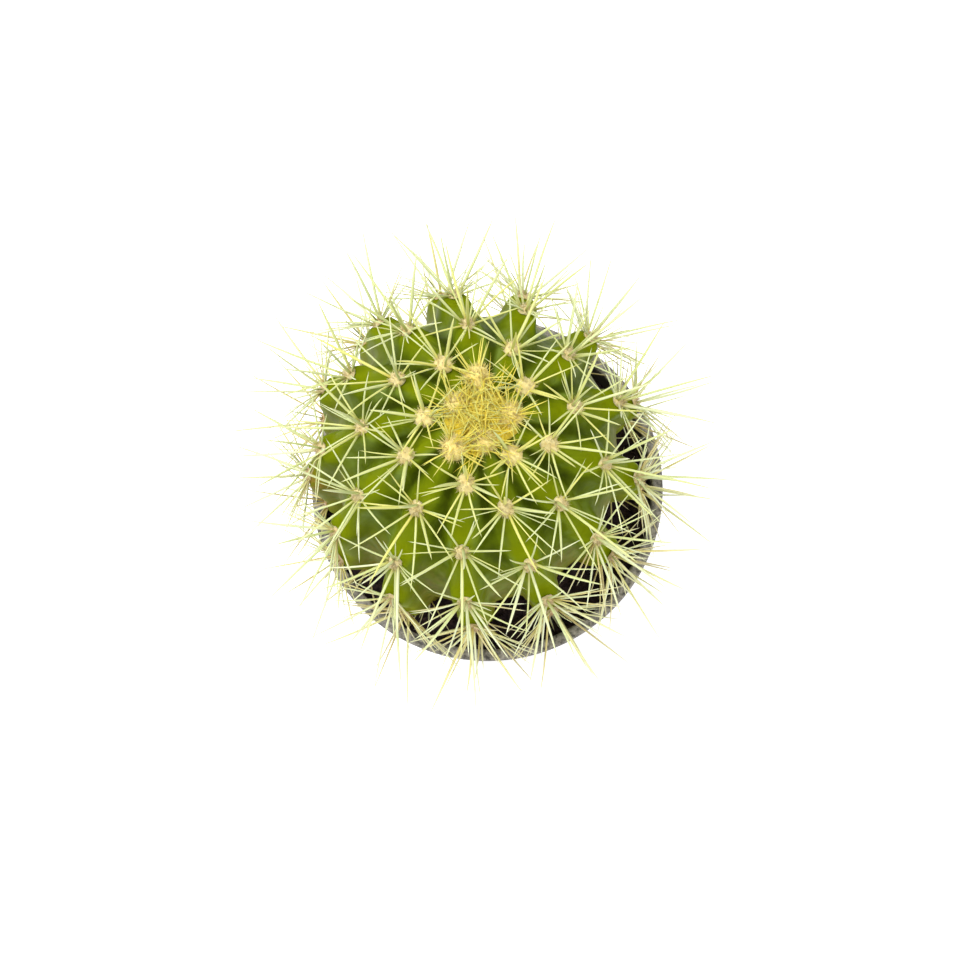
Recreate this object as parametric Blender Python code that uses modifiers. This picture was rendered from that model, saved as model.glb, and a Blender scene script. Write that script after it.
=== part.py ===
"""Potted round cactus: a young golden barrel in a round nursery pot.

Pieces: the plastic pot, the potting mix inside it, the ribbed green stem, the woolly crown
tuft with its young spines, and one cluster of spines with its wool pad for every areole of the
four upper turns.  Metres, +Z up, origin at the centre of the pot's underside.
"""
import math

import bmesh
import bpy
import numpy as np
from mathutils import Matrix, Vector

MM = 0.001
GAP = 0.3 * MM

# Pot: a 10.5 cm round nursery pot with a flat lip, a collar and a tapered wall.
POT_HEIGHT = 92.0 * MM
LIP_RADIUS = 52.5 * MM
LIP_WIDTH = 3.6 * MM
LIP_THICKNESS = 1.6 * MM
COLLAR_HEIGHT = 13.0 * MM
COLLAR_STEP = 1.4 * MM
POT_BASE_RADIUS = 38.0 * MM
POT_WALL = 1.4 * MM
POT_FLOOR = 2.0 * MM
DRAIN_RISE = 1.0 * MM
DRAIN_RING_RADIUS = 28.0 * MM
DRAIN_RING_HALF_WIDTH = 5.5 * MM
DRAIN_HOLE_RADIUS = 3.2 * MM
DRAIN_HOLES = 8
DRILL_LENGTH = 4.0 * POT_FLOOR
DRILL_SIDES = 16
TURNED_STEPS = 64
MERGE_DISTANCE = 0.01 * MM
SHARP_ANGLE = math.radians(30.0)

# Potting mix.
SOIL_DROP = 10.0 * MM
SOIL_TOP = POT_HEIGHT - SOIL_DROP
SOCKET_GAP = 0.5 * MM

# Stem: a ribbed globe, a little flatter above its widest ring than below it.
RIBS = 13
STEM_CENTRE = Vector((-3.3 * MM, 1.0 * MM, POT_HEIGHT + 35.0 * MM))
STEM_LEAN = Vector((0.02, 0.024))
STEM_RADIUS = 48.6 * MM
STEM_RISE = 45.4 * MM
STEM_DROP = 60.0 * MM
STEM_FOOT = 6.0 * MM
RIB_DEPTH = 8.0 * MM
GROOVE_SHARPNESS = 1.5
WALL_FROM = 0.12
WALL_OVER = 0.56
WALL_STEEPNESS = 0.9
GROOVE_WIDENS_FROM = math.radians(35.0)
GROOVE_WIDENS_OVER = math.radians(45.0)
FULL_DEPTH_ANGLE = math.radians(62.0)
DEPTH_GROWTH = 1.15
CROWN_DIP = 2.4 * MM
CROWN_DIP_ANGLE = math.radians(11.0)
FIRST_RIB_ANGLE = math.radians(-103.9)
RIB_TWIST = 0.14
POINTS_PER_RIB = 6
STEM_RINGS = 19
POLE_ANGLE = 1e-4

# Areoles: one after another on ribs eight apart, each a step further down the globe.
AREOLE_ROWS = 4
RIB_JUMP = 8
START_RIB = 2
FIRST_AREOLE_ANGLE = math.radians(16.0)
AREOLE_STEP = math.radians(1.86)
TANGENT_STEP = math.radians(1.5)

# Spine clusters: a wool pad, eight spines in a star and four that stand out.  Headings are
# measured from straight down the rib, and the star is the same on both sides of it.
PAD_SIDES = 16
PAD_RADIUS = 2.4 * MM
PAD_TOP_RADIUS = 1.8 * MM
PAD_HEIGHT = 1.1 * MM
RADIAL_RISE = 18.0
RADIALS = ((22.5, 21.5 * MM), (67.5, 18.0 * MM), (112.5, 15.5 * MM), (157.5, 13.5 * MM))
CENTRALS = ((0.0, 46.0, 26.5 * MM), (90.0, 58.0, 23.5 * MM), (180.0, 66.0, 21.0 * MM),
            (-90.0, 58.0, 23.5 * MM))
YOUNG_SHARE = 0.62
SPINE_ROOT_RADIUS = 0.75 * MM
SPINE_CLEARANCE = 0.4 * MM

# Each spine tries directions around its own until it clears the pot, the globe and the others.
TRIES = 60
JITTER = math.radians(9.0)
FIRST_JITTER_SHARE = 0.3
SHORTENING = 0.8
SHORTEST_SHARE = 0.35
LENGTH_SPREAD = 0.14
HEADING_WAVE = (13.0, 78.2)
RISE_WAVE = (39.3, 11.1)
LENGTH_WAVE = (7.1, 2.3)
PATH_SAMPLES = 13
PASSING_ROOM = 1.0 * MM
OUTER_SHARES = (0.4, 0.55, 0.7, 0.85, 1.0)
STEM_ROOM = 1.03

# Crown tuft.
TUFT_SIDES = 20
TUFT_RADIUS = 8.8 * MM
TUFT_TOP_RADIUS = 6.0 * MM
TUFT_HEIGHT = 3.0 * MM
TUFT_SPINE = 9.0 * MM
TUFT_RISES = (50.0, 76.0)
TUFT_HEADROOM = 2.5 * MM

COLOURS = {
    "pot_plastic": ((0.085, 0.083, 0.08, 1.0), 0.5),
    "peat_mix": ((0.018, 0.013, 0.011, 1.0), 0.95),
    "stem_skin": ((0.17, 0.28, 0.04, 1.0), 0.42),
    "crown_wool": ((0.80, 0.58, 0.13, 1.0), 0.9),
    "spine_straw": ((0.74, 0.75, 0.33, 1.0), 0.45),
}


def clear_scene():
    for item in list(bpy.data.objects):
        bpy.data.objects.remove(item, do_unlink=True)


def new_collection(name):
    collection = bpy.data.collections.new(name)
    bpy.context.scene.collection.children.link(collection)
    return collection


def make_materials():
    materials = {}
    for name, (colour, roughness) in COLOURS.items():
        material = bpy.data.materials.new(name)
        material.use_nodes = True
        shader = material.node_tree.nodes["Principled BSDF"]
        shader.inputs["Base Color"].default_value = colour
        shader.inputs["Roughness"].default_value = roughness
        shader.inputs["Metallic"].default_value = 0.0
        material.diffuse_color = colour
        materials[name] = material
    return materials


def add_mesh_object(name, bm, collection, material=None):
    mesh = bpy.data.meshes.new(name)
    bm.to_mesh(mesh)
    bm.free()
    item = bpy.data.objects.new(name, mesh)
    collection.objects.link(item)
    if material is not None:
        mesh.materials.append(material)
    return item


def turned(name, profile, collection, material):
    """A closed turned body from a profile that runs from axis to axis down its outer side."""
    bm = bmesh.new()
    corners = [bm.verts.new((radius, 0.0, height)) for radius, height in profile]
    for upper, lower in zip(corners, corners[1:]):
        bm.edges.new((upper, lower))
    item = add_mesh_object(name, bm, collection, material)
    screw = item.modifiers.new("turn", "SCREW")
    screw.steps = TURNED_STEPS
    screw.render_steps = TURNED_STEPS
    screw.use_merge_vertices = True
    screw.merge_threshold = MERGE_DISTANCE
    item.data.shade_smooth()
    return item


def cut(item, cutter):
    cutter.hide_render = True
    cutter.display_type = "WIRE"
    boolean = item.modifiers.new("cut_" + cutter.name, "BOOLEAN")
    boolean.operation = "DIFFERENCE"
    boolean.object = cutter


def wall_radius(height):
    """Outer radius of the tapered wall below the collar."""
    top = POT_HEIGHT - COLLAR_HEIGHT
    top_radius = LIP_RADIUS - LIP_WIDTH - COLLAR_STEP + POT_WALL
    return POT_BASE_RADIUS + (top_radius - POT_BASE_RADIUS) * height / top


def make_pot(collection, cutters, material):
    collar_outer = LIP_RADIUS - LIP_WIDTH + POT_WALL
    collar_inner = LIP_RADIUS - LIP_WIDTH
    collar_foot = POT_HEIGHT - COLLAR_HEIGHT
    lip_round = LIP_THICKNESS / 2.0
    ring_inner = DRAIN_RING_RADIUS - DRAIN_RING_HALF_WIDTH
    ring_outer = DRAIN_RING_RADIUS + DRAIN_RING_HALF_WIDTH
    floor_radius = wall_radius(POT_FLOOR) - POT_WALL
    inside = [
        (0.0, POT_FLOOR),
        (floor_radius, POT_FLOOR),
        (wall_radius(collar_foot) - POT_WALL, collar_foot),
        (collar_inner, collar_foot + COLLAR_STEP),
        (collar_inner, POT_HEIGHT - lip_round),
        (collar_inner + lip_round / 2.0, POT_HEIGHT),
    ]
    outside = [
        (LIP_RADIUS - lip_round / 2.0, POT_HEIGHT),
        (LIP_RADIUS, POT_HEIGHT - lip_round / 2.0),
        (LIP_RADIUS, POT_HEIGHT - LIP_THICKNESS),
        (collar_outer, POT_HEIGHT - LIP_THICKNESS),
        (collar_outer, collar_foot),
        (wall_radius(collar_foot), collar_foot),
        (POT_BASE_RADIUS, lip_round),
        (POT_BASE_RADIUS - lip_round, 0.0),
        (ring_outer, 0.0),
        (ring_outer - DRAIN_RISE, DRAIN_RISE),
        (ring_inner + DRAIN_RISE, DRAIN_RISE),
        (ring_inner, 0.0),
        (0.0, 0.0),
    ]
    pot = turned("pot", inside + outside, collection, material)
    pot.data.set_sharp_from_angle(angle=SHARP_ANGLE)
    bm = bmesh.new()
    for index in range(DRAIN_HOLES):
        angle = 2.0 * math.pi * index / DRAIN_HOLES
        place = Matrix.Translation((
            DRAIN_RING_RADIUS * math.cos(angle), DRAIN_RING_RADIUS * math.sin(angle), 0.0))
        bmesh.ops.create_cone(
            bm, cap_ends=True, segments=DRILL_SIDES, radius1=DRAIN_HOLE_RADIUS,
            radius2=DRAIN_HOLE_RADIUS, depth=DRILL_LENGTH, matrix=place)
    holes = add_mesh_object("drain_hole_cutters", bm, cutters)
    cut(pot, holes)
    return pot


def groove_share(theta, phi):
    """0 on a rib's crest and 1 in the groove: a crease near the crown, a steep-walled trough
    lower down."""
    share = math.sin(RIBS * (phi - FIRST_RIB_ANGLE - RIB_TWIST * theta) / 2.0) ** 2
    crease = share ** GROOVE_SHARPNESS
    wall = max(0.0, min(1.0, (share - WALL_FROM) / WALL_OVER))
    trough = share + (wall * wall * (3.0 - 2.0 * wall) - share) * WALL_STEEPNESS
    widened = max(0.0, min(1.0, (theta - GROOVE_WIDENS_FROM) / GROOVE_WIDENS_OVER))
    return crease + (trough - crease) * widened


def stem_point(theta, phi, grow=0.0):
    """A point of the ribbed globe: theta is measured from the crown, phi around the stem."""
    across = math.sin(theta)
    fade = min(1.0, across / math.sin(FULL_DEPTH_ANGLE))
    depth = RIB_DEPTH * fade ** DEPTH_GROWTH
    radius = STEM_RADIUS * across - depth * groove_share(theta, phi)
    if theta < math.pi / 2.0:
        height = STEM_RISE * math.cos(theta)
    else:
        height = STEM_DROP * math.cos(theta)
    height -= CROWN_DIP * math.exp(-((theta / CROWN_DIP_ANGLE) ** 2))
    lean = STEM_LEAN * height
    radius += grow
    return STEM_CENTRE + Vector((
        radius * math.cos(phi) + lean.x, radius * math.sin(phi) + lean.y, height))


def stem_mesh(grow=0.0):
    """A sphere's grid of points laid on the ribbed globe, flat at the foot."""
    foot_height = SOIL_TOP - STEM_FOOT - STEM_CENTRE.z
    foot_angle = math.acos(foot_height / STEM_DROP)
    last_ring = math.pi * (1.0 - 1.0 / STEM_RINGS)
    bm = bmesh.new()
    bmesh.ops.create_uvsphere(
        bm, u_segments=RIBS * POINTS_PER_RIB, v_segments=STEM_RINGS, radius=1.0)
    for vertex in bm.verts:
        polar = math.acos(max(-1.0, min(1.0, vertex.co.z)))
        if polar > math.pi - POLE_ANGLE:
            vertex.co = stem_point(foot_angle, 0.0)
            vertex.co.x = STEM_CENTRE.x
            vertex.co.y = STEM_CENTRE.y
            vertex.co.z -= grow
            continue
        if polar < POLE_ANGLE:
            vertex.co = stem_point(0.0, 0.0)
            continue
        theta = foot_angle * polar / last_ring
        column = math.atan2(vertex.co.y, vertex.co.x)
        vertex.co = stem_point(theta, column + FIRST_RIB_ANGLE + RIB_TWIST * theta, grow)
        if theta > foot_angle - POLE_ANGLE:
            vertex.co.z -= grow
    return bm


def make_stem(collection, material):
    stem = add_mesh_object("stem", stem_mesh(), collection, material)
    stem.data.shade_smooth()
    return stem


def make_soil(collection, cutters, material):
    collar_foot = POT_HEIGHT - COLLAR_HEIGHT
    floor_height = POT_FLOOR + GAP
    profile = [
        (0.0, SOIL_TOP),
        (LIP_RADIUS - LIP_WIDTH - GAP, SOIL_TOP),
        (LIP_RADIUS - LIP_WIDTH - GAP, collar_foot + COLLAR_STEP + GAP),
        (wall_radius(collar_foot) - POT_WALL - GAP, collar_foot),
        (wall_radius(floor_height) - POT_WALL - GAP, floor_height),
        (0.0, floor_height),
    ]
    soil = turned("potting_mix", profile, collection, material)
    socket = add_mesh_object("stem_socket_cutter", stem_mesh(grow=SOCKET_GAP), cutters)
    cut(soil, socket)
    return soil


def areole(index):
    """Angle from the crown, angle around the stem, rib number and row of one areole."""
    theta = FIRST_AREOLE_ANGLE + AREOLE_STEP * index
    rib = (START_RIB + RIB_JUMP * index) % RIBS
    phi = FIRST_RIB_ANGLE + RIB_TWIST * theta + 2.0 * math.pi * rib / RIBS
    return theta, phi, rib, index // RIBS


def areole_frame(theta, phi):
    """Axes on the rib's crest: x runs down the rib, z stands straight out of it."""
    here = stem_point(theta, phi)
    above = stem_point(theta - TANGENT_STEP, phi - RIB_TWIST * TANGENT_STEP)
    below = stem_point(theta + TANGENT_STEP, phi + RIB_TWIST * TANGENT_STEP)
    down = (below - above).normalized()
    around = Vector((-math.sin(phi), math.cos(phi), 0.0))
    outward = down.cross(around).normalized()
    side = outward.cross(down).normalized()
    frame = Matrix((down, side, outward)).transposed().to_4x4()
    return Matrix.Translation(here + outward * GAP) @ frame


def closest_gap(start, end, others):
    """Smallest free distance from one tapering spine to a list of placed ones."""
    if not others:
        return 1.0
    placed = np.array([(*a, *b) for a, b in others])
    first, last = placed[:, :3], placed[:, 3:]
    run = np.array(end) - np.array(start)
    runs = last - first
    between = np.array(start) - first
    a = run @ run
    e = np.einsum("ij,ij->i", runs, runs)
    f = np.einsum("ij,ij->i", runs, between)
    c = between @ run
    b = runs @ run
    denominator = np.maximum(a * e - b * b, 1e-18)
    s = np.clip((b * f - c * e) / denominator, 0.0, 1.0)
    t = np.clip((b * s + f) / e, 0.0, 1.0)
    s = np.clip((b * t - c) / a, 0.0, 1.0)
    apart = between + s[:, None] * run - t[:, None] * runs
    thick = SPINE_ROOT_RADIUS * ((1.0 - s) + (1.0 - t))
    return float(np.min(np.linalg.norm(apart, axis=1) - thick))


def clears_holder(start, end):
    """True where a spine passes over the potting mix and outside or over the pot."""
    for share in np.linspace(0.0, 1.0, PATH_SAMPLES):
        point = start.lerp(end, float(share))
        radius = math.hypot(point.x, point.y)
        if radius < LIP_RADIUS + PASSING_ROOM and point.z < POT_HEIGHT + PASSING_ROOM:
            inside_rim = radius < LIP_RADIUS - LIP_WIDTH - PASSING_ROOM
            if not inside_rim or point.z < SOIL_TOP + PASSING_ROOM:
                return False
    return True


def clears_stem(start, end):
    """True where the outer half of a spine stays outside the rib crests."""
    for share in OUTER_SHARES:
        offset = start.lerp(end, share) - STEM_CENTRE
        rise = STEM_RISE if offset.z > 0.0 else STEM_DROP
        flat = math.hypot(offset.x, offset.y) / STEM_RADIUS
        if math.hypot(flat, offset.z / rise) < STEM_ROOM:
            return False
    return True


def clears_pads(start, end, pads, own):
    """True where a spine passes clear of every other wool pad."""
    run = end - start
    for index, centre in enumerate(pads):
        if index == own:
            continue
        along = max(0.0, min(1.0, (centre - start).dot(run) / run.length_squared))
        thick = SPINE_ROOT_RADIUS * (1.0 - along) + PAD_RADIUS + SPINE_CLEARANCE
        if (start + run * along - centre).length < thick:
            return False
    return True


def clears_tuft(start, end):
    """True where a spine of the globe passes clear of the crown's dome of wool."""
    top = stem_point(0.0, 0.0)
    for share in np.linspace(0.0, 1.0, PATH_SAMPLES):
        point = start.lerp(end, float(share))
        near = math.hypot(point.x - top.x, point.y - top.y) < TUFT_RADIUS + PASSING_ROOM
        if near and point.z < top.z + TUFT_HEIGHT + TUFT_HEADROOM:
            return False
    return True


def wave(rates, number, attempt):
    """A value from -1 to 1 that jumps about from spine to spine and from try to try."""
    return math.sin(rates[0] * number + rates[1] * attempt)


def choose_tip(root, heading, rise, length, frame, number, placed, pads, own):
    """First jittered direction, then length, at which a spine clears everything placed."""
    start = frame @ root
    turn = frame.to_3x3()
    for attempt in range(TRIES):
        spread = JITTER * (FIRST_JITTER_SHARE + attempt / TRIES)
        late = max(0, attempt - TRIES // 3)
        share = max(SHORTEST_SHARE, 1.0 - SHORTENING * late / TRIES)
        share *= 1.0 - LENGTH_SPREAD * (0.5 + 0.5 * wave(LENGTH_WAVE, number, attempt))
        angle = heading + spread * wave(HEADING_WAVE, number, attempt)
        lift = rise + spread * wave(RISE_WAVE, number, attempt)
        flat = math.cos(lift)
        aim = Vector((flat * math.cos(angle), flat * math.sin(angle), math.sin(lift)))
        end = start + turn @ aim * length * share
        if not clears_holder(start, end) or not clears_stem(start, end):
            continue
        if not clears_pads(start, end, pads, own):
            continue
        if own is not None and not clears_tuft(start, end):
            continue
        if closest_gap(start, end, placed) < SPINE_CLEARANCE:
            continue
        return start, end
    return start, start + turn @ Vector((0.0, 0.0, 1.0)) * PAD_HEIGHT


def heading_of(face):
    centre = face.calc_center_median()
    return math.atan2(centre.y, centre.x)


def nearest_face(faces, heading):
    """The face whose middle lies closest to a heading around the pad."""
    return min(faces, key=lambda face: 1.0 - math.cos(heading_of(face) - heading))


def pad_with_fan(sides, radius, top_radius, height):
    """A low round pad with a face centred on its x axis, and its side and top faces."""
    bm = bmesh.new()
    bmesh.ops.create_cone(
        bm, cap_ends=True, segments=sides, radius1=radius, radius2=top_radius, depth=height,
        matrix=Matrix.Translation((0.0, 0.0, height / 2.0))
        @ Matrix.Rotation(math.pi / sides, 4, "Z"))
    walls = [face for face in bm.faces if len(face.verts) == 4]
    cap = max(bm.faces, key=lambda face: face.calc_center_median().z)
    fan = bmesh.ops.poke(bm, faces=[cap])["faces"]
    return bm, walls, fan


def raise_spines(bm, wanted, frame, number, placed, pads, own):
    """Pull the wanted faces of a pad out to points that clear every spine placed before."""
    inverse = frame.inverted()
    mine = []
    for order, (face, rise, length) in enumerate(wanted):
        root = face.calc_center_median()
        start, end = choose_tip(
            root, heading_of(face), rise, length, frame, number + order, placed, pads, own)
        mine.append((start, end))
        tip = bmesh.ops.poke(bm, faces=[face])["verts"][0]
        tip.co = inverse @ end
    placed.extend(mine)
    bmesh.ops.triangulate(bm, faces=bm.faces[:])
    bmesh.ops.transform(bm, matrix=frame, verts=bm.verts[:])


def make_cluster(name, frame, share, number, placed, pads, own, collection, material):
    """A wool pad with eight spines from its sides and four from its top, as one body."""
    bm, walls, fan = pad_with_fan(PAD_SIDES, PAD_RADIUS, PAD_TOP_RADIUS, PAD_HEIGHT)
    wanted = []
    for degrees, length in RADIALS:
        for side in (1.0, -1.0):
            face = nearest_face(walls, side * math.radians(degrees))
            wanted.append((face, math.radians(RADIAL_RISE), length * share))
    for degrees, rise, length in CENTRALS:
        face = nearest_face(fan, math.radians(degrees))
        wanted.append((face, math.radians(rise), length * share))
    raise_spines(bm, wanted, frame, number, placed, pads, own)
    return add_mesh_object(name, bm, collection, material)


def make_tuft(placed, pads, collection, material):
    """The crown's dome of wool with the young spines that are still pushing through it."""
    seat = stem_point(math.asin(TUFT_RADIUS / STEM_RADIUS), FIRST_RIB_ANGLE)
    top = stem_point(0.0, 0.0)
    frame = Matrix.Translation((top.x, top.y, seat.z + GAP))
    bm, walls, fan = pad_with_fan(TUFT_SIDES, TUFT_RADIUS, TUFT_TOP_RADIUS, TUFT_HEIGHT)
    walls.sort(key=heading_of)
    fan.sort(key=heading_of)
    leaning, upright = TUFT_RISES
    wanted = [(face, math.radians(leaning), TUFT_SPINE) for face in walls[::2]]
    wanted += [(face, math.radians(upright), TUFT_SPINE) for face in fan[::4]]
    raise_spines(bm, wanted, frame, 0, placed, pads, None)
    return add_mesh_object("crown_tuft", bm, collection, material)


def main():
    clear_scene()
    collection = new_collection("potted_round_cactus")
    cutters = new_collection("cutters")
    materials = make_materials()
    make_pot(collection, cutters, materials["pot_plastic"])
    make_soil(collection, cutters, materials["peat_mix"])
    make_stem(collection, materials["stem_skin"])

    sites = [areole(index) for index in range(RIBS * AREOLE_ROWS)]
    frames = [areole_frame(theta, phi) for theta, phi, rib, row in sites]
    pads = [frame @ Vector((0.0, 0.0, PAD_HEIGHT / 2.0)) for frame in frames]
    placed = []
    make_tuft(placed, pads, collection, materials["crown_wool"])
    for index, (theta, phi, rib, row) in enumerate(sites):
        share = min(1.0, YOUNG_SHARE + (1.0 - YOUNG_SHARE) * index / RIBS)
        name = f"spine_cluster_rib{rib + 1:02d}_{row + 1}"
        number = (index + 1) * (2 * len(RADIALS) + len(CENTRALS))
        make_cluster(name, frames[index], share, number, placed, pads, index,
                     collection, materials["spine_straw"])


main()
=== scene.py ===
import math
import random

import bmesh
import bpy
from mathutils import Euler, Matrix, Vector, noise


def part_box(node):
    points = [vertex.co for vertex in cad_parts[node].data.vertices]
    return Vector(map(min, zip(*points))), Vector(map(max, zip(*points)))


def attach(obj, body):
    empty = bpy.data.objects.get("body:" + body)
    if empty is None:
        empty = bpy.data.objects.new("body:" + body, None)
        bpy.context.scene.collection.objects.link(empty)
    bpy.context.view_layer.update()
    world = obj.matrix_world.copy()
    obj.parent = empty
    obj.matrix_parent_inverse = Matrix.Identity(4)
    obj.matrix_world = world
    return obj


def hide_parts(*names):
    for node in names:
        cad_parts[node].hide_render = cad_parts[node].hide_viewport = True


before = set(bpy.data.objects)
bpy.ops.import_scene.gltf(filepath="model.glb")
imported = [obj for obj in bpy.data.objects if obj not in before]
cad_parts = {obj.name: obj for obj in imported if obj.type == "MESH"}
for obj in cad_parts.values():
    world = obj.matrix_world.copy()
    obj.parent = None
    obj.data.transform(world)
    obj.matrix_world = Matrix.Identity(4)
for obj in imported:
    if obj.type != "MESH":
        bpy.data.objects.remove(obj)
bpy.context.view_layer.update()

# ---------------------------------------------------------------- sizes, in metres

MM = 0.001
GAP = 0.3 * MM
UP = Vector((0.0, 0.0, 1.0))
FULL_TURN = 2.0 * math.pi

POT_LOW, POT_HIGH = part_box("pot")
SOIL_LOW, SOIL_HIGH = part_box("potting_mix")

# Pot: moulded in one piece, with a flat lip, a collar and a tapered wall.
POT_HEIGHT = POT_HIGH[2]
LIP_RADIUS = (POT_HIGH[0] - POT_LOW[0]) / 2.0
LIP_WIDTH = 3.6 * MM
LIP_THICKNESS = 1.6 * MM
COLLAR_HEIGHT = 13.0 * MM
COLLAR_STEP = 1.4 * MM
POT_BASE_RADIUS = 38.0 * MM
POT_WALL = 1.4 * MM
POT_FLOOR = 2.0 * MM
DRAIN_RISE = 1.0 * MM
DRAIN_RING_RADIUS = 28.0 * MM
DRAIN_RING_HALF_WIDTH = 5.5 * MM
DRAIN_HOLE_RADIUS = 3.2 * MM
DRAIN_HOLES = 8
SOFT_EDGE = 0.7 * MM
CRISP_EDGE = 0.4 * MM
SHARP_ANGLE = math.radians(35.0)
CORNER_STEPS = 4
POT_STEPS = 192

# Potting mix.
SOIL_TOP = SOIL_HIGH[2]
SOIL_RADIUS = (SOIL_HIGH[0] - SOIL_LOW[0]) / 2.0
SOIL_LUMP = 1.1 * MM
SOIL_NOISE = ((9.0 * MM, 0.9), (3.6 * MM, 0.55), (1.5 * MM, 0.3))  # size, share
SOIL_SETTLED = 0.6
EDGE_WIDTH = 2.0 * MM
EDGE_LUMPS = 0.4
SINK_WIDTH = 3.0 * MM
SINK_BELOW_FOOT = 1.5 * MM
SOIL_RINGS = 60
SOIL_STEPS = 256
CRUMBS = 900
CRUMB_SIZES = (0.5 * MM, 1.9 * MM)
CRUMB_WALL_ROOM = 0.8 * MM
CRUMB_STEM_ROOM = 2.0 * MM

# Stem: a ribbed globe.
RIBS = 13
STEM_CENTRE = Vector((-3.3 * MM, 1.0 * MM, POT_HEIGHT + 35.0 * MM))
STEM_LEAN = Vector((0.02, 0.024))
STEM_RADIUS = 48.6 * MM
STEM_RISE = 45.4 * MM
STEM_DROP = 60.0 * MM
STEM_FOOT = 6.0 * MM
RIB_DEPTH = 8.0 * MM
GROOVE_SHARPNESS = 1.5
WALL_FROM = 0.12
WALL_OVER = 0.56
WALL_STEEPNESS = 0.9
GROOVE_WIDENS_FROM = math.radians(35.0)
GROOVE_WIDENS_OVER = math.radians(45.0)
FULL_DEPTH_ANGLE = math.radians(62.0)
DEPTH_GROWTH = 1.15
CROWN_DIP = 2.4 * MM
CROWN_DIP_ANGLE = math.radians(11.0)
FIRST_RIB_ANGLE = math.radians(-103.9)
RIB_TWIST = 0.14
STEM_COLUMNS = RIBS * 28
STEM_ROWS = 150
POLE_ANGLE = 0.02
CHIN_HEIGHT = 1.0 * MM
NOTCH_PHASE = 0.8
FLANK_SWELL = 0.9 * MM
SWELL_PHASE = 0.06
# Painted shade in the grooves: darkest near the crown and eased lower down the globe.
GROOVE_SHADE_EASES_FROM = math.radians(38.0)
GROOVE_SHADE_EASES_OVER = math.radians(30.0)
GROOVE_SHADE_EASING = 0.4
# Painted highlight: where along the rib, and over how much of it, the crest is made lighter just
# above each areole.
LIT_FACET_PHASE = 0.78
LIT_FACET_SPAN = 0.3
FOOT_CORK = 0.6
GROOVE_TAN_FROM = math.radians(62.0)
GROOVE_TAN_OVER = math.radians(20.0)
GROOVE_TAN = 0.35
CORK_SPOT = Vector((-51.0 * MM, -6.5 * MM, 128.0 * MM))
CORK_REACH = 4.5 * MM
SKIN_RIPPLE = 0.22 * MM
RIPPLE_COARSE = 6.0 * MM
RIPPLE_FINE = 2.6 * MM

# Areoles: one after another on ribs eight apart, each a step further down the globe.
RIB_JUMP = 8
START_RIB = 2
FIRST_AREOLE_ANGLE = math.radians(16.0)
AREOLE_STEP = math.radians(1.86)
CAD_ROWS = 4
AREOLES = RIBS * CAD_ROWS
LOW_AREOLES = range(AREOLES, AREOLES + RIBS)
YOUNG_AREOLES = range(-7, 0)
FIRST_AGE = 6  # the age of the globe's first areole, counted in areoles

# Crown: a low dome of long straight wool, fluffs of young areoles and loose needles.
CROWN_RADIUS = 10.0 * MM
CROWN_HEIGHT = 2.4 * MM
CROWN_HAIRS = 1200
CROWN_HAIR_REACH = 4.0 * MM
CROWN_CURL = 0.3
CROWN_LIFT = 0.4 * MM
CROWN_AGE = 0.005
INNERMOST_ANGLE = 0.05
YOUNG_HEIGHT = 2.8 * MM
YOUNG_HAIRS = 420
YOUNG_HAIR_REACH = 4.6 * MM
YOUNG_NEEDLES = 26
LEANING_NEEDLES = 30
LEANING_RADII = (0.17 * MM, 0.14 * MM, 0.0)
LOOSE_NEEDLES = 100
LOOSE_RADII = (0.15 * MM, 0.13 * MM, 0.0)
NEEDLE_SIDES = 5

# Wool pads: a rough dome each, with short hairs.
LUMP_COARSE = 2.3
LUMP_FINE = 5.1
PAD_RADIUS = 2.3 * MM
PAD_HEIGHT = 1.3 * MM
PAD_OVAL = 0.92
YOUNG_PAD_WIDER = 0.35
YOUNG_PAD_TALLER = 0.4
PAD_HAIRS = 130
LOW_PAD_HAIRS = 30
HAIR_ROOT = 0.8
HAIR_RADII = (0.08 * MM, 0.06 * MM, 0.0)
HAIR_SIDES = 3

# Spines: eight in a star, four that stand out, and a few fine ones.
SPINE_RADIUS = 0.32 * MM
CENTRAL_RADIUS = 0.46 * MM
CENTRAL_RISE = 0.55
ROOT_SPREAD = 0.55 * PAD_RADIUS
ROOT_SHARE = 0.3
ROOT_HEIGHT = 0.2 * PAD_HEIGHT
SPINE_STEPS = 9
SPINE_TAPER = 0.85
TAPER_POWER = 3.5
OLD_THINNING = 0.3
OLD_LENGTHENING = 0.22
TONE_SPREAD = 0.2
YOUNGEST_TONE = 0.1
SPINE_SWAY = math.radians(7.0)
SPINE_ROOM = 1.5 * MM
PATH_STEPS = 14
LIFT_TRIES = 14
LIFT_STEP = math.radians(5.0)
LIFT_SHORTENING = 0.93
STUB_LENGTH = 4.0 * MM
EXTRA_SPINES = 4
SIDEWAYS_SPINES = 5
FIRST_CROWDED_ROW = 2
LOW_STAR = (22.5, 67.5, 112.5, 157.5, -22.5, -67.5, -112.5, -157.5)  # degrees
LOW_CENTRALS = (0.0, 45.0, 90.0, 180.0, 270.0, 315.0)  # degrees

# Studio.
CAMERA_DISTANCE = 1.0
CAMERA_ELEVATION = math.radians(78.0)
CAMERA_LENS = 122.8
CAMERA_AIM = Vector((0.75 * MM, -0.85 * MM, POT_HEIGHT))
FLOOR_SIZE = 6.0
FLOOR_GLOW = 0.6
HORIZON_LIGHT = 1.05
OVERHEAD_LIGHT = 0.3
SOFTBOXES = (  # name, place, width, watts
    ("softbox_above", (-0.4, 0.15, 1.3), 0.7, 20.0),
    ("softbox_side", (0.9, -0.7, 0.9), 0.8, 7.0))

rng = random.Random(13)


# ---------------------------------------------------------------- helpers

def clamp(value):
    """A value held between 0 and 1."""
    return max(0.0, min(1.0, value))


def pointing(heading, rise):
    """Unit vector towards a heading, lifted by an angle from the local ground."""
    flat = math.cos(rise)
    return Vector((flat * math.cos(heading), flat * math.sin(heading), math.sin(rise)))


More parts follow.
